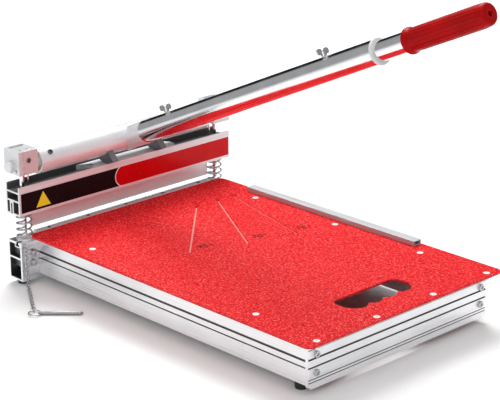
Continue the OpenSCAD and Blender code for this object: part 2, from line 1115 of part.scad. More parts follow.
module presser_screw_places() {
  for (side = [-1, 1])
    translate([handle_x + side * presser_screw_x, 0, presser_top])
      children();
}

module presser_screws() {
  color("silver")
    place()
      presser_screw_places()
        flat_screw(presser_head_r, presser_screw_r, presser_t + 2);
}

// Plain coloured panels on the front of the carriage
module label_panel(x0, x1) {
  label_z = upper_z + 4;
  label_h = upper_h - 13.3;
  translate([x0, -beam_d / 2 - label_t, label_z])
    cube([x1 - x0, label_t, label_h]);
}

module dark_label() {
  color("black")
    place()
      label_panel(-beam_l / 2 + 3, label_seam);
}

module red_label() {
  color("red")
    place()
      label_panel(label_seam, beam_l / 2 - 2);
}

// ---------------------------------------------------------------- lever

// The cam tube across the cutter, with the stub that carries the handle
module cam_tube() {
  color("silver")
    place()
      difference() {
        union() {
          translate([0, 0, axis_z])
            rotate([0, 90, 0])
              cylinder(r = tube_r, h = 2 * tube_end, center = true);
          along_handle()
            cylinder(r = stub_r, h = stub_end);
          along_handle(stub_end - 1)
            cylinder(r = bore_r - run_gap, h = spigot_end - stub_end + 1);
        }
        translate([0, 0, axis_z])
          rotate([0, 90, 0])
            cylinder(r = tube_r - tube_wall, h = 2 * tube_end + 2, center = true);
        along_handle(tube_r + 6)
          cylinder(r = bore_r - spigot_wall, h = spigot_end);
        tube_screw_places()
          cylinder(r = screw_hole_r, h = 12, center = true);
        along_handle(clamp_at)
          rotate([-90, 0, 0])
            cylinder(r = wing_shank_r + run_gap, h = outer_r + 2);
      }
}

// Outline of one cam in the Y-Z plane, with the tube's axis at the origin. Its lower flank is
// the involute that lowers a flat follower by the same amount for every degree of turn.
function cam_flank(a) = let (h = cam_rest - cam_rate * a)
  [h * sin(a) - cam_k * cos(a), -h * cos(a) - cam_k * sin(a)];

module cam_outline() {
  flank = [for (a = [-cam_down - 5:4:cam_up + 3]) cam_flank(a)];
  difference() {
    polygon(concat([[-tube_r * 0.7, -tube_r * 0.3]], flank, [[tube_r * 0.85, tube_r * 0.2]]));
    circle(r = tube_r);
  }
}

module cams() {
  color("dimgray")
    place()
      for (side = [-1, 1])
        translate([handle_x + side * cam_spread, 0, axis_z])
          along_x(cam_w)
            cam_outline();
}

module tube_bushes() {
  color("goldenrod")
    place()
      difference() {
        both_ends()
          translate([bush_x, 0, axis_z])
            rotate([0, 90, 0])
              tube(tube_r - tube_wall, axle_r + run_gap, bush_l);
        tube_screw_places()
          cylinder(r = screw_hole_r, h = 14, center = true);
      }
}

// Loose sleeves on the axles that keep the cam tube centred between the blocks
module spacer_sleeves() {
  color("silver")
    place()
      both_ends()
        translate([bush_x + bush_l + 0.2, 0, axis_z])
          rotate([0, 90, 0])
            tube(axle_r + 3, axle_r + run_gap, block_x - bush_x - bush_l - 0.4);
}

// Screws that hold the bushes, on the front of the tube
module tube_screw_places() {
  both_ends()
    translate([bush_x + bush_l / 2, 0, axis_z])
      rotate([50, 0, 0])
        translate([0, 0, tube_r])
          children();
}

module tube_screws() {
  color("dimgray")
    place()
      tube_screw_places()
        cap_screw(tube_head_r, tube_head_h, screw_r, tube_wall + 3);
}

module outer_handle_tube() {
  color("silver")
    place()
      difference() {
        along_handle(stub_end + 0.1)
          tube(outer_r, bore_r, outer_end - stub_end - 0.1);
        for (t = [clamp_at, extension_at])
          along_handle(t)
            rotate([-90, 0, 0])
              cylinder(r = wing_shank_r + run_gap, h = outer_r + 2);
      }
}

// Ring that closes the outer tube and guides the inner one
module handle_collar() {
  lip = 3;
  color("lightgray")
    place()
      along_handle(outer_end - collar_l + lip)
        difference() {
          union() {
            cylinder(r = bore_r, h = collar_l - lip);
            translate([0, 0, collar_l - lip])
              cylinder(r = collar_r, h = lip - 0.8);
            translate([0, 0, collar_l - 0.8])
              cylinder(r1 = collar_r, r2 = collar_r - 0.8, h = 0.8);
          }
          translate([0, 0, -1])
            cylinder(r = inner_r + run_gap, h = collar_l + 2);
        }
}

module inner_handle_tube() {
  color("whitesmoke")
    place()
      along_handle(inner_start)
        tube(inner_r, inner_r - inner_wall, grip_end - 8 - inner_start);
}

// Plastic ring on the inner tube's hidden end that runs inside the outer tube
module slide_guide() {
  color("dimgray")
    place()
      along_handle(inner_start)
        tube(bore_r - run_gap, inner_r, guide_l);
}

module grip() {
  ridge_count = 20;
  color("red")
    place()
      along_handle(grip_start)
        difference() {
          union() {
            cylinder(r1 = flange_r - 1, r2 = flange_r, h = 1.5);
            translate([0, 0, 1.5])
              cylinder(r = flange_r, h = flange_l - 3);
            translate([0, 0, flange_l - 1.5])
              cylinder(r1 = flange_r, r2 = grip_r - 0.6, h = 4);
            cylinder(r = grip_r - 0.6, h = grip_l - 3);
            translate([0, 0, grip_l - 3])
              cylinder(r1 = grip_r - 0.6, r2 = grip_r - grip_chamfer, h = 3);
            for (i = [0:ridge_count - 1])
              rotate([0, 0, 360 * i / ridge_count])
                translate([grip_r - 1.2, 0, 22])
                  cylinder(r = 1.2, h = grip_l - 30);
          }
          translate([0, 0, -1])
            cylinder(r = inner_r, h = grip_l - 6);
          cylinder(r = 3.6, h = grip_l + 1);
        }
}

// Small plug that closes the inner tube behind the grip's end hole
module grip_plug() {
  color("dimgray")
    place()
      along_handle(grip_end - 18)
        cylinder(r = inner_r - inner_wall, h = 9);
}

// Wing screw with its shank along +Z and its wings above the tube
module wing_screw(tip) {
  rise = outer_r + 0.8;
  wing_r = 4.2;
  wing_t = 2.2;
  wing_x = 6;
  hub_h = 6;
  translate([0, 0, tip])
    cylinder(r = wing_shank_r, h = rise + 1 - tip);
  translate([0, 0, rise])
    cylinder(r1 = 4.4, r2 = 3.6, h = hub_h);
  for (side = [-1, 1])
    translate([side * wing_x, 0, rise + hub_h])
      rotate([90, 0, 0])
        cylinder(r = wing_r, h = wing_t, center = true);
  translate([-wing_x, -wing_t / 2, rise + hub_h / 2])
    cube([2 * wing_x, wing_t, 4]);
}

module clamp_wing_screw() {
  color("gainsboro")
    place()
      along_handle(clamp_at)
        rotate([-90, 0, 0])
          wing_screw(bore_r - spigot_wall + 0.2);
}

module extension_wing_screw() {
  color("gainsboro")
    place()
      along_handle(extension_at)
        rotate([-90, 0, 0])
          wing_screw(inner_r + 0.2);
}

// ---------------------------------------------------------------- chain and lock pin

// A screw eye in the lower beam's front
module chain_eye() {
  color("silver")
    place()
      translate([eye_x, -beam_d / 2, eye_z])
        union() {
          rotate([90, 0, 0])
            cylinder(r = 2.4, h = eye_base);
          rotate([-90, 0, 0])
            cylinder(r = 1.45, h = 3.4);
          translate([0, hang_y + beam_d / 2 + 0.3, 0])
            rotate([0, 90, 0])
              rotate_extrude()
                translate([eye_in + eye_wire, 0])
                  circle(r = eye_wire, $fn = 24);
        }
}

// A chain link along +Z, flat in the X-Z plane, with its upper contact point at the origin
module link() {
  r = link_in / 2 + chain_wire;
  translate([0, 0, -link_pitch / 2]) {
    for (x = [-1, 1])
      translate([x * r, 0, -link_straight / 2])
        cylinder(r = chain_wire, h = link_straight, $fn = 16);
    for (flip = [0, 180])
      rotate([0, flip, 0])
        translate([0, 0, link_straight / 2])
          rotate([90, 0, 0])
            rotate_extrude(angle = 180)
              translate([r, 0])
                circle(r = chain_wire, $fn = 16);
  }
}

module chain() {
  color("silver")
    place()
      for (i = [0:link_total - 1])
        translate([
          eye_x + link_out(i) * cos(floor_turn),
          hang_y + 0.3 + link_out(i) * sin(floor_turn),
          chain_top - link_fall(i)
        ])
          rotate([0, 0, floor_turn])
            rotate([0, -lean(i), 0])
              rotate([0, 0, 90 * (i % 2) - first_twist * (1 - i / (link_total - 1))])
                link();
}

module pull_ring() {
  color("silver")
    place()
      translate([ring_spot[0], ring_spot[1], pin_r])
        rotate_extrude()
          translate([ring_r, 0])
            circle(r = ring_wire, $fn = 24);
}

module lock_pin() {
  color("silver")
    place()
      translate([ring_spot[0], ring_spot[1], pin_r])
        rotate([0, 90, pin_turn])
          difference() {
            union() {
              translate([0, 0, pin_start])
                cylinder(r = pin_r, h = pin_l - pin_taper);
              translate([0, 0, pin_start + pin_l - pin_taper])
                cylinder(r1 = pin_r, r2 = 0.8, h = pin_taper);
            }
            translate([0, 0, ring_r - 0.2])
              rotate([90, 0, 0])
                cylinder(r = ring_wire + 0.55, h = 3 * pin_r, center = true);
          }
}

red_table();
table_screws();
fence();
fence_screws();
side_rail_left();
side_rail_right();
end_rail();
end_rail_screws();
lower_beam();
beam_bolts();
rail_bolts();
rubber_feet();
foot_screws();
anvil_bar();
anvil_screws();
anvil_nuts();
guide_rod_left();
guide_rod_right();
rod_anchors();
lower_spring_seats();
spring_left();
spring_right();
left_block();
right_block();
block_cover_plates();
block_screws();
side_rods();
left_axle();
right_axle();
upper_beam();
blade();
blade_screws();
guide_bushes();
presser_bar();
presser_screws();
dark_label();
red_label();
cam_tube();
cams();
tube_bushes();
tube_screws();
spacer_sleeves();
outer_handle_tube();
handle_collar();
inner_handle_tube();
slide_guide();
grip();
grip_plug();
clamp_wing_screw();
extension_wing_screw();
chain_eye();
chain();
pull_ring();
lock_pin();
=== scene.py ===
import json
import math
import bmesh
import bpy
from mathutils import Matrix, Vector


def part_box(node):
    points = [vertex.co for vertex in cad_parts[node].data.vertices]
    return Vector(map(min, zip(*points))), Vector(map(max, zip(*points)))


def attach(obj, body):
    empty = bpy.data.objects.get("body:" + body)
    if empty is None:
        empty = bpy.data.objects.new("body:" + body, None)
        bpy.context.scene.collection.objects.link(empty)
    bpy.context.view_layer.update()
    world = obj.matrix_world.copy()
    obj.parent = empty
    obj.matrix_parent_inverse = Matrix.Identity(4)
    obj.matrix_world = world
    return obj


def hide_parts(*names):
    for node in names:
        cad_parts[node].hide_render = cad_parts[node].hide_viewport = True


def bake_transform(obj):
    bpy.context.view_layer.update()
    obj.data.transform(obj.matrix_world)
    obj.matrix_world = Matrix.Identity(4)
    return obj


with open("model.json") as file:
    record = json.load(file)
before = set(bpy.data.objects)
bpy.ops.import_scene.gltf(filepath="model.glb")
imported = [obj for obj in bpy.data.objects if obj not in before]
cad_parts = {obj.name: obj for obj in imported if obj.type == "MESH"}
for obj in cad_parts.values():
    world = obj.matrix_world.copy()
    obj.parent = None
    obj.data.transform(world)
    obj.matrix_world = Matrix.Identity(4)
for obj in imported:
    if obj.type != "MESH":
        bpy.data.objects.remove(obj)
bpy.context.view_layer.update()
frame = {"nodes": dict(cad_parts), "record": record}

nodes = frame["nodes"]
record = frame["record"]
scene = bpy.context.scene
MM = 0.001


# ------------------------------------------------------------------ places read from the frame
def middle(node):
    lo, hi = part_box(node)
    return Vector([(a + b) / 2 for a, b in zip(lo, hi)])


WING_ALONG = 103 * MM   # from the lever's axis to the clamp wing screw, along the handle
WING_ABOVE = 17 * MM    # from the handle's axis up to that screw's joint
joints = {j["name"]: j for j in record["behaviour"]["joints"]}
along = Vector(joints["handle_slide"]["axis"]).normalized()
above = Vector(joints["clamp_wing_turn"]["axis"]).normalized()
across = along.cross(above)
handle_root = Vector(joints["clamp_wing_turn"]["pos_m"]) - along * WING_ALONG - above * WING_ABOVE
TABLE_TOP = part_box("red_table")[1][2]


# ------------------------------------------------------------------ camera
CAM_AZ = math.radians(43.661)      # heading, clockwise from +Y
CAM_EL = math.radians(18.995)      # downward tilt
CAM_ROLL = math.radians(-0.249)
CAM_PLACE = (-1.553077, -1.891671, 0.915639)   # from the floor under the middle of the cam tube
CAM_LENS = 128.76084

cam_data = bpy.data.cameras.new("camera")
cam = bpy.data.objects.new("camera", cam_data)
scene.collection.objects.link(cam)
scene.camera = cam
cam_data.sensor_width = 36
cam_data.lens = CAM_LENS
cam_data.clip_start = 0.05
cam_data.clip_end = 60
look = Vector((math.cos(CAM_EL) * math.sin(CAM_AZ), math.cos(CAM_EL) * math.cos(CAM_AZ), -math.sin(CAM_EL)))
level_right = Vector((math.cos(CAM_AZ), -math.sin(CAM_AZ), 0))
level_up = level_right.cross(look)
right = level_right * math.cos(CAM_ROLL) + level_up * math.sin(CAM_ROLL)
up = level_up * math.cos(CAM_ROLL) - level_right * math.sin(CAM_ROLL)
turn = Matrix((right, up, -look)).transposed().to_4x4()
tube_line = Vector((0, middle("left_axle").y, 0))
cam.matrix_world = Matrix.Translation(Vector(CAM_PLACE) + tube_line) @ turn


# ------------------------------------------------------------------ lights
def area_light(name, where, size, power):
    """A square soft light that points at the middle of the tool."""
    data = bpy.data.lights.new(name, "AREA")
    data.energy = power
    data.shape = "RECTANGLE"
    data.size = size
    data.size_y = size
    lamp = bpy.data.objects.new(name, data)
    lamp.location = where
    lamp.rotation_mode = "QUATERNION"
    lamp.rotation_quaternion = (Vector((0, 0, 0.08)) - Vector(where)).to_track_quat("-Z", "Y")
    scene.collection.objects.link(lamp)


area_light("key_light", (1.0, 1.3, 2.3), 1.5, 72)
area_light("front_light", (-2.2, -1.2, 1.5), 1.6, 14)
area_light("top_light", (-0.3, -0.3, 2.8), 2.0, 14)


# ------------------------------------------------------------------ studio surroundings
# Grey levels by height, where 0 is straight down, 0.5 the horizon and 1 straight up
FRONT = [(0.0, 0.9), (0.5, 0.95), (1.0, 1.0)]
GREY_SCREEN = [(0.0, 0.9), (0.495, 0.9), (0.505, 0.7), (0.66, 0.7), (0.8, 0.5), (0.9, 1.0)]
DARK_SCREEN = [(0.0, 0.9), (0.495, 0.9), (0.505, 0.02), (0.7, 0.02), (0.78, 0.5), (0.9, 1.0)]

world = bpy.data.worlds.new("studio")
scene.world = world
world.use_nodes = True
tree = world.node_tree
tree.nodes.clear()
direction = tree.nodes.new("ShaderNodeTexCoord").outputs["Generated"]


def world_range(value, lo, hi):
    """0 up to lo, 1 from hi."""
    n = tree.nodes.new("ShaderNodeMapRange")
    n.inputs["From Min"].default_value = lo
    n.inputs["From Max"].default_value = hi
    tree.links.new(value, n.inputs["Value"])
    return n.outputs[0]


def world_mix(fac, a, b):
    n = tree.nodes.new("ShaderNodeMix")
    n.data_type = "RGBA"
    for value, socket in zip((fac, a, b), (n.inputs[0], n.inputs[6], n.inputs[7])):
        tree.links.new(value, socket)
    return n.outputs[2]


def sky(height, stops):
    n = tree.nodes.new("ShaderNodeValToRGB")
    while len(n.color_ramp.elements) < len(stops):
        n.color_ramp.elements.new(0.5)
    for element, (place, level) in zip(n.color_ramp.elements, stops):
        element.position = place
        element.color = (level, level, level, 1)
    tree.links.new(height, n.inputs[0])
    return n.outputs[0]


def studio():
    """Bright in front. Behind the tool a dark screen stands in the middle, with grey ones beside it."""
    split = tree.nodes.new("ShaderNodeSeparateXYZ")
    tree.links.new(direction, split.inputs[0])
    height = world_range(split.outputs["Z"], -1, 1)
    ahead = tree.nodes.new("ShaderNodeVectorMath")
    ahead.operation = "DOT_PRODUCT"
    ahead.inputs[1].default_value = (math.sin(CAM_AZ), math.cos(CAM_AZ), 0)
    tree.links.new(direction, ahead.inputs[0])
    ahead = ahead.outputs["Value"]
    behind = world_mix(world_range(ahead, 0.72, 0.8), sky(height, GREY_SCREEN), sky(height, DARK_SCREEN))
    background = tree.nodes.new("ShaderNodeBackground")
    background.inputs["Strength"].default_value = 0.5
    colour = world_mix(world_range(ahead, -0.15, 0.15), sky(height, FRONT), behind)
    tree.links.new(colour, background.inputs["Color"])
    end = tree.nodes.new("ShaderNodeOutputWorld")
    tree.links.new(background.outputs[0], end.inputs["Surface"])


studio()
scene.view_settings.view_transform = "Standard"
scene.view_settings.look = "None"


# ------------------------------------------------------------------ node helpers
class Mat:
    """A procedural material on one Principled shader, in object coordinates."""

    def __init__(self, name, rough, metal=0.0, **sockets):
        self.material = bpy.data.materials.new(name)
        self.material.use_nodes = True
        self.tree = self.material.node_tree
        self.shader = self.tree.nodes["Principled BSDF"]
        self.shader.inputs["Roughness"].default_value = rough
        self.shader.inputs["Metallic"].default_value = metal
        for key, value in sockets.items():
            self.shader.inputs[key.replace("_", " ")].default_value = value
        self.place = self.tree.nodes.new("ShaderNodeTexCoord").outputs["Object"]

    def put(self, socket, value):
        """Links a socket to an output, or sets it to a number or a colour."""
        if hasattr(value, "is_output"):
            self.tree.links.new(value, socket)
        else:
            socket.default_value = (*value, 1) if hasattr(value, "__len__") else value

    def new(self, kind, **inputs):
        n = self.tree.nodes.new(kind)
        for key, value in inputs.items():
            self.put(n.inputs[key.replace("_", " ")], value)
        return n

    def scaled(self, x, y, z):
        n = self.new("ShaderNodeMapping", Vector=self.place)
        n.inputs["Scale"].default_value = (x, y, z)
        return n.outputs[0]

    def noise(self, where, scale, detail, rough=0.55):
        return self.new("ShaderNodeTexNoise", Vector=where, Scale=scale, Detail=detail,
                        Roughness=rough).outputs["Fac"]

    def ramp(self, fac, *stops):
        """A colour or grey ramp. Each stop is a place and a colour, or a place and a grey level."""
        n = self.tree.nodes.new("ShaderNodeValToRGB")
        self.put(n.inputs[0], fac)
        elements = n.color_ramp.elements
        while len(elements) < len(stops):
            elements.new(0.5)
        for element, (place, colour) in zip(elements, stops):
            element.position = place
            element.color = (*colour, 1) if hasattr(colour, "__len__") else (colour, colour, colour, 1)
        return n.outputs[0]

    def math(self, operation, a, b=0.0):
        n = self.tree.nodes.new("ShaderNodeMath")
        n.operation = operation
        self.put(n.inputs[0], a)
        self.put(n.inputs[1], b)
        return n.outputs[0]

    def mix(self, fac, a, b):
        n = self.tree.nodes.new("ShaderNodeMix")
        n.data_type = "RGBA"
        for socket, value in zip((n.inputs[0], n.inputs[6], n.inputs[7]), (fac, a, b)):
            self.put(socket, value)
        return n.outputs[2]

    def xyz(self):
        return self.new("ShaderNodeSeparateXYZ", Vector=self.place).outputs

    def finished(self, colour, rough, height, strength, distance):
        """Sets the colour, roughness and bump, and returns the Blender material."""
        self.put(self.shader.inputs["Base Color"], colour)
        self.put(self.shader.inputs["Roughness"], rough)
        n = self.new("ShaderNodeBump", Height=height, Strength=strength, Distance=distance)
        self.put(self.shader.inputs["Normal"], n.outputs[0])
        return self.material


def shade(colour, k):
    return tuple(min(1, c * k) for c in colour)


# ------------------------------------------------------------------ materials
def drawn_metal(name, base, rough, grain_axis, metal=1.0, streak=0.16, fine=900, bump=0.25, painted_shade=None):
    """Extruded or brushed metal: fine streaks along one axis, broad cloudy variation, small scuffs, and painted
    shade where a mask is given.
    """
    m = Mat(name, rough, metal)
    scale = [fine, fine, fine]
    scale["XYZ".index(grain_axis)] = fine * 0.012
    lines = m.noise(m.scaled(*scale), 1.0, 3.0, 0.6)
    cloud = m.noise(m.place, 14.0, 4.0)
    spots = m.noise(m.place, 420.0, 2.0)
    both = m.math("ADD", m.math("MULTIPLY", lines, 0.65), m.math("MULTIPLY", cloud, 0.35))
    colour = m.ramp(both, (0.3, shade(base, 1 - streak)), (0.5, base), (0.72, shade(base, 1 + streak / 2)))
    # painted shade: near black where the mask is set
    if painted_shade:
        colour = m.mix(painted_shade(m), colour, shade(base, 0.12))
    scuff = m.ramp(spots, (0.62, 0.0), (0.72, 1.0))
    sheen = m.ramp(lines, (0.3, max(0.05, rough - 0.10)), (0.7, min(1, rough + 0.14)))
    sheen = m.math("ADD", sheen, m.math("MULTIPLY", scuff, 0.05))
    return m.finished(colour, sheen, lines, bump, 0.00005)


def polished(name, base, rough):
    """Chromed or ground steel: a little ripple, faint handling haze and hairline scratches."""
    m = Mat(name, rough, 1.0)
    haze = m.noise(m.place, 30.0, 5.0)
    hair = m.noise(m.scaled(1500, 60, 1500), 1.0, 2.0)
    colour = m.ramp(haze, (0.3, shade(base, 0.93)), (0.7, shade(base, 1.05)))
    sheen = m.ramp(haze, (0.35, rough * 0.7), (0.75, rough * 1.6))
    sheen = m.math("ADD", sheen, m.math("MULTIPLY", m.ramp(hair, (0.6, 0.0), (0.7, 1.0)), 0.05))
    return m.finished(colour, sheen, m.noise(m.place, 120.0, 3.0), 0.06, 0.0001)


def moulded(name, base, rough, grain=900, bump=0.35, coat=0.0, spec=0.5):
    """Moulded plastic, rubber or nylon: fine spark-eroded grain with slight sheen changes."""
    m = Mat(name, rough, Coat_Weight=coat, Coat_Roughness=0.2, Specular_IOR_Level=spec)
    fine = m.noise(m.place, grain, 3.0, 0.6)
    cloud = m.noise(m.place, 25.0, 4.0)
    colour = m.ramp(cloud, (0.3, shade(base, 0.86)), (0.7, shade(base, 1.1)))
    sheen = m.ramp(fine, (0.3, max(0.05, rough - 0.1)), (0.7, min(1, rough + 0.12)))
    return m.finished(colour, sheen, fine, bump, 0.00008)


def painted(name, base, rough=0.35, metal=0.0):
    """Smooth paint with a little orange peel and soft dirt in the broad variation."""
    m = Mat(name, rough, metal, Coat_Weight=0.3, Coat_Roughness=0.12)
    peel = m.noise(m.place, 700, 2.0, 0.5)
    cloud = m.noise(m.place, 18.0, 5.0)
    colour = m.ramp(cloud, (0.25, shade(base, 0.9)), (0.7, shade(base, 1.05)))
    sheen = m.ramp(cloud, (0.3, rough * 0.85), (0.7, min(1, rough * 1.25)))
    return m.finished(colour, sheen, peel, 0.15, 0.0001)


def within(m, value, lo, hi):
    """1 where the value lies between lo and hi."""
    return m.math("MULTIPLY", m.math("GREATER_THAN", value, lo), m.math("LESS_THAN", value, hi))


GROOVE_DEPTH = 1.2 * MM   # of the angle grooves in the table


def powder_coat(name, base):
    """Pebbled powder coat, with pale flecks of painted sheen and dark flecks of painted shade. The angle grooves'
    floors are paler.
    """
    m = Mat(name, 0.5, Specular_IOR_Level=0.1)
    cells = m.new("ShaderNodeTexVoronoi", Vector=m.place, Scale=420.0, Randomness=1.0)
    cells.feature = "SMOOTH_F1"
    pebble = cells.outputs["Distance"]
    fine = m.noise(m.place, 1100.0, 2.0)
    leather = m.noise(m.place, 330.0, 3.0, 0.6)
    cloud = m.noise(m.place, 12.0, 3.0)
    tone = m.math("ADD", m.math("MULTIPLY", fine, 0.15), m.math("MULTIPLY", leather, 0.5))
    tone = m.math("ADD", m.math("MULTIPLY", pebble, 0.35), tone)
    # pale flecks are painted sheen; the ramp's darkest stop is painted shade
    sheen_flecks = (0.88, 0.16, 0.14)
    coat = m.ramp(tone, (0.34, sheen_flecks), (0.43, shade(base, 1.1)), (0.5, base), (0.62, shade(base, 0.5)))
    coat = m.mix(m.ramp(cloud, (0.3, 0.0), (0.8, 0.35)), coat, shade(base, 0.85))
    floor_z = TABLE_TOP - GROOVE_DEPTH
    on_floor = within(m, m.xyz()[2], floor_z - 0.1 * MM, floor_z + 0.1 * MM)
    colour = m.mix(on_floor, coat, (0.72, 0.3, 0.26))
    return m.finished(colour, m.ramp(pebble, (0.1, 0.36), (0.7, 0.66)), tone, 0.9, 0.0008)


def glossy_film(name, base, marks):
    """A glossy printed film with faint ripple, dust in the sheen and plain shapes."""
    m = Mat(name, 0.3, Specular_IOR_Level=0.12)
    cloud = m.noise(m.place, 40.0, 4.0)
    colour = marks(m, m.ramp(cloud, (0.3, shade(base, 0.85)), (0.75, shade(base, 1.15))))
    sheen = m.ramp(m.noise(m.place, 300.0, 3.0), (0.35, 0.15), (0.75, 0.32))
    return m.finished(colour, sheen, m.noise(m.place, 90.0, 2.0), 0.08, 0.0001)


# ------------------------------------------------------------------ painted shade in hollows, and printed shapes
def beam_painted_shade(node):
    """Paints shade into a beam's chambers, its channel and the channel's back rim."""
    lo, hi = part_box(node)
    edge = 0.5 * MM
    front_wall = 2 * MM

    def mask(m):
        x, y, z = m.xyz()
        inside_x = within(m, x, lo[0] + edge, hi[0] - edge)
        inside = m.math("MULTIPLY", inside_x, within(m, y, lo[1] + front_wall, hi[1] - edge))
        # the back half is darkened up to the rim: painted shadow of the tube above
        back_half = m.math("GREATER_THAN", y, (lo[1] + hi[1]) / 2)
        below_rim = m.math("MAXIMUM", m.math("LESS_THAN", z, hi[2] - edge), back_half)
        above_base = m.math("GREATER_THAN", z, lo[2] + edge)
        return m.math("MULTIPLY", inside, m.math("MULTIPLY", below_rim, above_base))
    return mask


# Painted shade: a rail's grooves are dark between these depths behind its face
GROOVE_MOUTH = 0.4 * MM
GROOVE_FLOOR = 1.8 * MM
END_RAIL_FLANGE = 11 * MM    # the end rail's top flange reaches this far in front of its face


def side_groove_shade(m):
    """Painted shade: darkens the bottoms of the side rails' grooves."""
    outer = -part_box("side_rail_left")[0][0]
    return within(m, m.math("ABSOLUTE", m.xyz()[0]), outer - GROOVE_FLOOR, outer - GROOVE_MOUTH)


def end_groove_shade(m):
    """Painted shade: darkens the bottoms of the end rail's grooves."""
    lo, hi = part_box("end_rail")
    face = lo[1] + END_RAIL_FLANGE
    x, y, _ = m.xyz()
    in_groove = within(m, y, face + GROOVE_MOUTH, face + GROOVE_FLOOR)
    return m.math("MULTIPLY", in_groove, within(m, x, lo[0] + GROOVE_MOUTH, hi[0] - GROOVE_MOUTH))


def round_rect(m, x0, x1, z0, z1, r):
    """Signed distance in metres to a rounded rectangle in the X-Z plane."""
    x, _, z = m.xyz()
    dx = m.math("ABSOLUTE", m.math("SUBTRACT", x, (x0 + x1) / 2))
    dz = m.math("ABSOLUTE", m.math("SUBTRACT", z, (z0 + z1) / 2))
    dx = m.math("MAXIMUM", m.math("SUBTRACT", dx, (x1 - x0) / 2 - r), 0.0)
    dz = m.math("MAXIMUM", m.math("SUBTRACT", dz, (z1 - z0) / 2 - r), 0.0)
    far = m.math("SQRT", m.math("ADD", m.math("MULTIPLY", dx, dx), m.math("MULTIPLY", dz, dz)))
    return m.math("SUBTRACT", far, r)


LABEL_RED = (0.66, 0.003, 0.006)
LABEL_BLACK = (0.006, 0.006, 0.007)
LABEL_WHITE = (0.85, 0.85, 0.85)
LABEL_YELLOW = (0.9, 0.68, 0.03)
TRIANGLE_ALONG = 37.5 * MM     # from the label's left end to the triangle's middle
TRIANGLE_BELOW = 3.5 * MM      # from the label's middle down to the triangle's middle
TRIANGLE_INSIDE = 7.2 * MM     # from the triangle's middle to its sides
dark_lo, dark_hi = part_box("dark_label")
red_lo, red_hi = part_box("red_label")


def label_marks(m, colour):
    """On the black film: a red field with a round, white-edged end, and a plain yellow triangle."""
    z0, z1 = dark_lo[2], dark_hi[2]
    field = round_rect(m, red_lo[0] + 1.5 * MM, red_hi[0] + 30 * MM, z0 - MM, z1 + MM, (z1 - z0) / 2 + MM)
    colour = m.mix(m.math("LESS_THAN", field, 1.4 * MM), colour, LABEL_WHITE)
    red = m.mix(m.noise(m.place, 40.0, 4.0), shade(LABEL_RED, 0.85), shade(LABEL_RED, 1.1))
    colour = m.mix(m.math("LESS_THAN", field, 0.0), colour, red)
    x, _, z = m.xyz()
    dx = m.math("ABSOLUTE", m.math("SUBTRACT", x, dark_lo[0] + TRIANGLE_ALONG))
    dz = m.math("SUBTRACT", z, (z0 + z1) / 2 - TRIANGLE_BELOW)
    slant = m.math("ADD", m.math("MULTIPLY", dx, 0.866), m.math("MULTIPLY", dz, 0.5))
    triangle = m.math("MAXIMUM", slant, m.math("MULTIPLY", dz, -1.0))
    return m.mix(m.math("LESS_THAN", triangle, TRIANGLE_INSIDE), colour, LABEL_YELLOW)


# ------------------------------------------------------------------ a material for each slot
RAIL = (0.9, 0.905, 0.92)
BEAM = (0.84, 0.85, 0.87)
SLOTS = {
    "red_powder_coat": powder_coat("red_powder_coat", (0.72, 0.003, 0.008)),
    "white_screw": painted("white_screw", (0.88, 0.88, 0.86)),
    "aluminium_trim": drawn_metal("aluminium_trim", (0.5, 0.51, 0.52), 0.4, "Y", metal=0.5),
    "aluminium_rail": drawn_metal("aluminium_rail", RAIL, 0.36, "Y", metal=0.8, painted_shade=side_groove_shade),
    "aluminium_beam": drawn_metal("aluminium_beam", BEAM, 0.34, "X", metal=0.85),
    "steel_screw": polished("steel_screw", (0.56, 0.56, 0.58), 0.24),
    "dark_screw": drawn_metal("dark_screw", (0.16, 0.16, 0.17), 0.38, "X", fine=600),
    "black_rubber": moulded("black_rubber", (0.02, 0.02, 0.021), 0.7, 700, 0.5),
    "anvil_aluminium": drawn_metal("anvil_aluminium", (0.9, 0.9, 0.91), 0.38, "X", metal=0.7),
    "chromed_rod": polished("chromed_rod", (0.86, 0.87, 0.89), 0.13),
    "plain_steel": drawn_metal("plain_steel", (0.8, 0.81, 0.83), 0.4, "X", metal=0.5),
    "white_nylon": moulded("white_nylon", (0.84, 0.84, 0.82), 0.5),
    "spring_steel": polished("spring_steel", (0.5, 0.51, 0.53), 0.25),
    "silver_block": painted("silver_block", (0.74, 0.75, 0.77), 0.32, metal=0.25),
    "cover_plate": painted("cover_plate", (0.70, 0.66, 0.67), 0.3, metal=0.3),
    "blade_steel": drawn_metal("blade_steel", (0.86, 0.87, 0.89), 0.45, "X", metal=0.4, streak=0.08,
                               bump=0.08),
    "bronze_bush": drawn_metal("bronze_bush", (0.55, 0.38, 0.16), 0.35, "Z", fine=500),
    "dark_panel": glossy_film("dark_panel", LABEL_BLACK, label_marks),
    "red_panel": glossy_film("red_panel", LABEL_BLACK, label_marks),
    "satin_tube": painted("satin_tube", (0.83, 0.84, 0.86), 0.32, metal=0.3),
    "cam_steel": drawn_metal("cam_steel", (0.2, 0.2, 0.21), 0.4, "Z", fine=500),
    "polished_tube": polished("polished_tube", (0.88, 0.89, 0.91), 0.13),
    "collar_plastic": moulded("collar_plastic", (0.8, 0.8, 0.8), 0.3, coat=0.4),
    "dark_plastic": moulded("dark_plastic", (0.03, 0.03, 0.03), 0.5),
    "red_grip": moulded("red_grip", (0.4, 0.001, 0.002), 0.36, 1100, 0.25, spec=0.1),
    "chain_steel": polished("chain_steel", (0.5, 0.5, 0.52), 0.3),
}
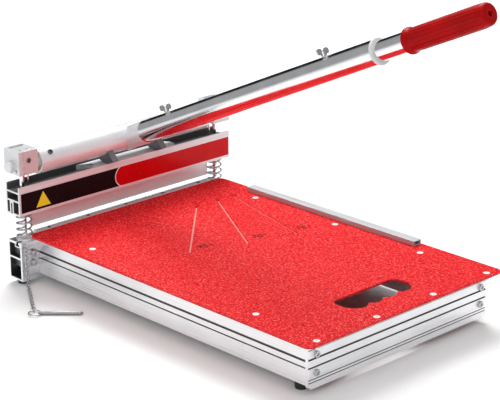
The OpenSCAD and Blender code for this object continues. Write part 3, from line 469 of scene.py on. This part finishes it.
# Nodes whose painted shade in hollows, grain or shine differ from the rest of their slot
OWN = {
    "end_rail": drawn_metal("aluminium_rail_end", RAIL, 0.36, "X", metal=0.8, painted_shade=end_groove_shade),
    "upper_beam": drawn_metal("aluminium_beam_upper", (0.82, 0.83, 0.85), 0.36, "X", metal=0.25,
                              painted_shade=beam_painted_shade("upper_beam")),
    "lower_beam": drawn_metal("aluminium_beam_lower", BEAM, 0.34, "X", metal=0.8,
                              painted_shade=beam_painted_shade("lower_beam")),
    "lock_pin": polished("pin_steel", (0.3, 0.3, 0.31), 0.3),
}
for entry in record["subparts"]:
    materials = nodes[entry["node"]].data.materials
    materials.clear()
    materials.append(OWN.get(entry["node"], SLOTS[entry["material_slot"]]))

# Widths in mm of softened edges, which catch the light, on the pieces with sharp corners
SOFT_EDGES = {
    "red_table": 0.5, "fence": 0.3, "side_rail_left": 0.35, "side_rail_right": 0.35, "end_rail": 0.35,
    "lower_beam": 0.35, "upper_beam": 0.35, "anvil_bar": 0.4, "left_block": 0.8, "right_block": 0.8,
    "block_cover_plates": 0.4, "presser_bar": 0.6, "left_axle": 0.3, "right_axle": 0.3, "cams": 0.4,
}
for node, width in SOFT_EDGES.items():
    weld = nodes[node].modifiers.new("weld", "WELD")
    weld.merge_threshold = 0.01 * MM
    bevel = nodes[node].modifiers.new("bevel", "BEVEL")
    bevel.width = width * MM
    bevel.segments = 2
    bevel.limit_method = "ANGLE"
    bevel.angle_limit = math.radians(40)
    bevel.use_clamp_overlap = True
    bevel.harden_normals = False


# ------------------------------------------------------------------ detailed pieces
def smooth_piece(name, verts, faces, slot):
    mesh = bpy.data.meshes.new(name)
    mesh.from_pydata([tuple(v) for v in verts], [], faces)
    mesh.update()
    piece = bpy.data.objects.new(name, mesh)
    scene.collection.objects.link(piece)
    mesh.materials.append(SLOTS[slot])
    for polygon in mesh.polygons:
        polygon.use_smooth = True
    return piece


def tube_faces(rings, sides):
    """The side faces between rings of points that follow each other."""
    faces = []
    for i in range(rings - 1):
        for k in range(sides):
            beside = (k + 1) % sides
            faces.append((i * sides + k, i * sides + beside, (i + 1) * sides + beside, (i + 1) * sides + k))
    return faces


def wire(points, radius, sides=14):
    """A round wire along points, none of them straight above the last, with flat ends."""
    last = len(points) - 1
    verts = []
    for i, point in enumerate(points):
        heading = (points[min(i + 1, last)] - points[max(i - 1, 0)]).normalized()
        sideways = Vector((0, 0, 1)).cross(heading).normalized()
        third = heading.cross(sideways)
        for k in range(sides):
            angle = 2 * math.pi * k / sides
            verts.append(point + sideways * (radius * math.cos(angle)) + third * (radius * math.sin(angle)))
    faces = tube_faces(len(points), sides)
    faces.append(tuple(reversed(range(sides))))
    faces.append(tuple(last * sides + k for k in range(sides)))
    return verts, faces


WIRE_R = 1.3 * MM     # spring wire
COILS = 4             # turns of a spring
FLAT_ENDS = 0.10      # share of the turns that lies flat at the two ends together


def spring(name):
    """A return spring between the frame and the carriage, rounder than the CAD coil that it replaces."""
    lo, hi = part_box(name)
    x, y = (lo[0] + hi[0]) / 2, (lo[1] + hi[1]) / 2
    radius = (hi[0] - lo[0]) / 2 - WIRE_R
    low, high = lo[2] + WIRE_R, hi[2] - WIRE_R
    steps = 44
    points = []
    for i in range(COILS * steps + 1):
        turned = i / (COILS * steps)
        rise = min(1, max(0, (turned - FLAT_ENDS / 2) / (1 - FLAT_ENDS)))
        angle = 2 * math.pi * i / steps
        points.append(Vector((x + radius * math.cos(angle), y + radius * math.sin(angle),
                              low + (high - low) * rise)))
    piece = smooth_piece(name + "_wire", *wire(points, WIRE_R), "spring_steel")
    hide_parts(name)
    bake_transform(piece)


spring("spring_left")
spring("spring_right")

# The grip, in mm
GRIP_L = 131
GRIP_R = 14.6             # of the body, under the ridges
GRIP_END_RIM = 12.2       # radius of the end's rim, which is the grip's outermost point along Y
RELIEF = (14, 124)        # the ridges and dots lie between these distances from the flange's face
RELIEF_FADE = 4
RELIEF_OVER_R = 12        # the relief is only on what is farther from the axis, so the end's hole stays plain
RIDGES = 24
RIDGE_H = 0.4
DOT_FIELD = 0.72          # half the angle of the dotted strip on top, in radians
DOT_ROW_0 = -0.6          # angle of the first row of dots
DOT_ROWS = 0.24           # angle between rows
DOT_PITCH = 5.0
DOT_H = 0.5
DOT_SPREAD = 1.5          # a dot's radius, squared
# Distance from the flange's face and radius: flange, neck, body, rounded end, hole. The body's points between its
# ends leave its radius alone, but they set where the rings fall, and with that how the dots are sampled.
GRIP_PROFILE = [
    (0.0, 14.9), (0.5, 16.1), (1.5, 16.8), (3.0, 17.0), (4.5, 16.8), (6.0, 16.0), (7.5, 15.2),
    (9.0, 14.75), (12.0, GRIP_R), (18.0, GRIP_R), (30.0, GRIP_R), (70.0, GRIP_R), (105.0, GRIP_R), (121.0, GRIP_R),
    (125.6, 14.4), (128.1, 13.8), (129.8, 12.8), (130.8, 11.4), (GRIP_L, 9.6), (GRIP_L, 6.0),
    (GRIP_L, 3.7), (130.5, 3.4), (123.0, 3.4),
]


def relief(distance, radius, angle):
    """Height of the grip's long ridges and of the dots on its top, at one point."""
    if not (RELIEF[0] < distance < RELIEF[1] and radius > RELIEF_OVER_R):
        return 0.0
    fade = min(1, (distance - RELIEF[0]) / RELIEF_FADE, (RELIEF[1] - distance) / RELIEF_FADE)
    from_top = (angle + math.pi / 2) % (2 * math.pi) - math.pi
    if abs(from_top) > DOT_FIELD:
        return RIDGE_H * fade * max(0, math.cos(RIDGES * angle)) ** 0.8
    row = round((from_top - DOT_ROW_0) / DOT_ROWS)
    off_side = (from_top - DOT_ROW_0 - DOT_ROWS * row) * GRIP_R
    off_along = (distance + DOT_PITCH / 2 * (row % 2)) % DOT_PITCH - DOT_PITCH / 2
    return DOT_H * fade * max(0, 1 - (off_along ** 2 + off_side ** 2) / DOT_SPREAD)


def grip_rings():
    """The profile's points, with more between them so that the relief has a vertex every 0.8 mm."""
    rings = []
    for (a, radius_a), (b, radius_b) in zip(GRIP_PROFILE, GRIP_PROFILE[1:]):
        count = max(1, int(abs(b - a) / 0.8))
        for i in range(count):
            rings.append((a + (b - a) * i / count, radius_a + (radius_b - radius_a) * i / count))
    rings.append(GRIP_PROFILE[-1])
    return rings


def grip_piece():
    """The moulded grip: rounded flange, long ridges, rows of dots on top and a rounded end with a hole."""
    rim_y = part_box("grip")[0][1] + GRIP_END_RIM * MM * along.z
    grip_start = (handle_root.y - rim_y) / -along.y - GRIP_L * MM
    sides = 192
    rings = grip_rings()
    verts = []
    for distance, radius in rings:
        middle_point = handle_root + along * (grip_start + distance * MM)
        for k in range(sides):
            angle = 2 * math.pi * k / sides
            r = (radius + relief(distance, radius, angle)) * MM
            verts.append(middle_point + across * (r * math.cos(angle)) + above * (r * math.sin(angle)))
    faces = tube_faces(len(rings), sides)
    faces.append(tuple((len(rings) - 1) * sides + k for k in range(sides)))
    piece = smooth_piece("moulded_grip", verts, faces, "red_grip")
    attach(piece, "extension")
    # normals outward whatever the winding of the profile
    bm = bmesh.new()
    bm.from_mesh(piece.data)
    bmesh.ops.recalc_face_normals(bm, faces=bm.faces)
    bm.to_mesh(piece.data)
    bm.free()
    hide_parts("grip")


grip_piece()

# ------------------------------------------------------------------ angle numbers
INK = moulded("number_paint", (0.12, 0.001, 0.002), 0.6, spec=0.1)
NUMBER_TURN = math.radians(-30)
# Each number's text, its X, and its distance from the table's back edge
NUMBERS = (("45", -37 * MM, 203 * MM), ("30", 44 * MM, 225 * MM), ("15", 111 * MM, 244 * MM))


def number(text, where):
    """A small raised angle number on the table, in dark red."""
    name = "angle_" + text
    curve = bpy.data.curves.new(name, "FONT")
    curve.body = text + "°"
    curve.align_x = "CENTER"
    curve.align_y = "CENTER"
    curve.size = 17 * MM
    curve.extrude = 0.12 * MM
    curve.bevel_depth = 0.08 * MM
    curve.resolution_u = 4
    outline = bpy.data.objects.new(name, curve)
    scene.collection.objects.link(outline)
    depsgraph = bpy.context.evaluated_depsgraph_get()
    mesh = bpy.data.meshes.new_from_object(outline.evaluated_get(depsgraph))
    bpy.data.objects.remove(outline)
    piece = bpy.data.objects.new(name, mesh)
    scene.collection.objects.link(piece)
    mesh.transform(Matrix.Translation(where) @ Matrix.Rotation(NUMBER_TURN, 4, "Z"))
    mesh.materials.clear()
    mesh.materials.append(INK)
    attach(piece, "frame")


for text, x, from_back in NUMBERS:
    number(text, (x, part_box("red_table")[1][1] - from_back, TABLE_TOP + 0.05 * MM))


# ------------------------------------------------------------------ floor
def floor():
    half = 15
    corners = [(-half, -half, 0), (half, -half, 0), (half, half, 0), (-half, half, 0)]
    mesh = bpy.data.meshes.new("floor")
    mesh.from_pydata(corners, [], [(0, 1, 2, 3)])
    piece = bpy.data.objects.new("floor", mesh)
    scene.collection.objects.link(piece)
    paper = Mat("floor_paper", 0.9)
    tone = paper.ramp(paper.noise(paper.place, 3.0, 2.0), (0.3, 0.93), (0.7, 0.95))
    paper.put(paper.shader.inputs["Base Color"], tone)
    mesh.materials.append(paper.material)


floor()
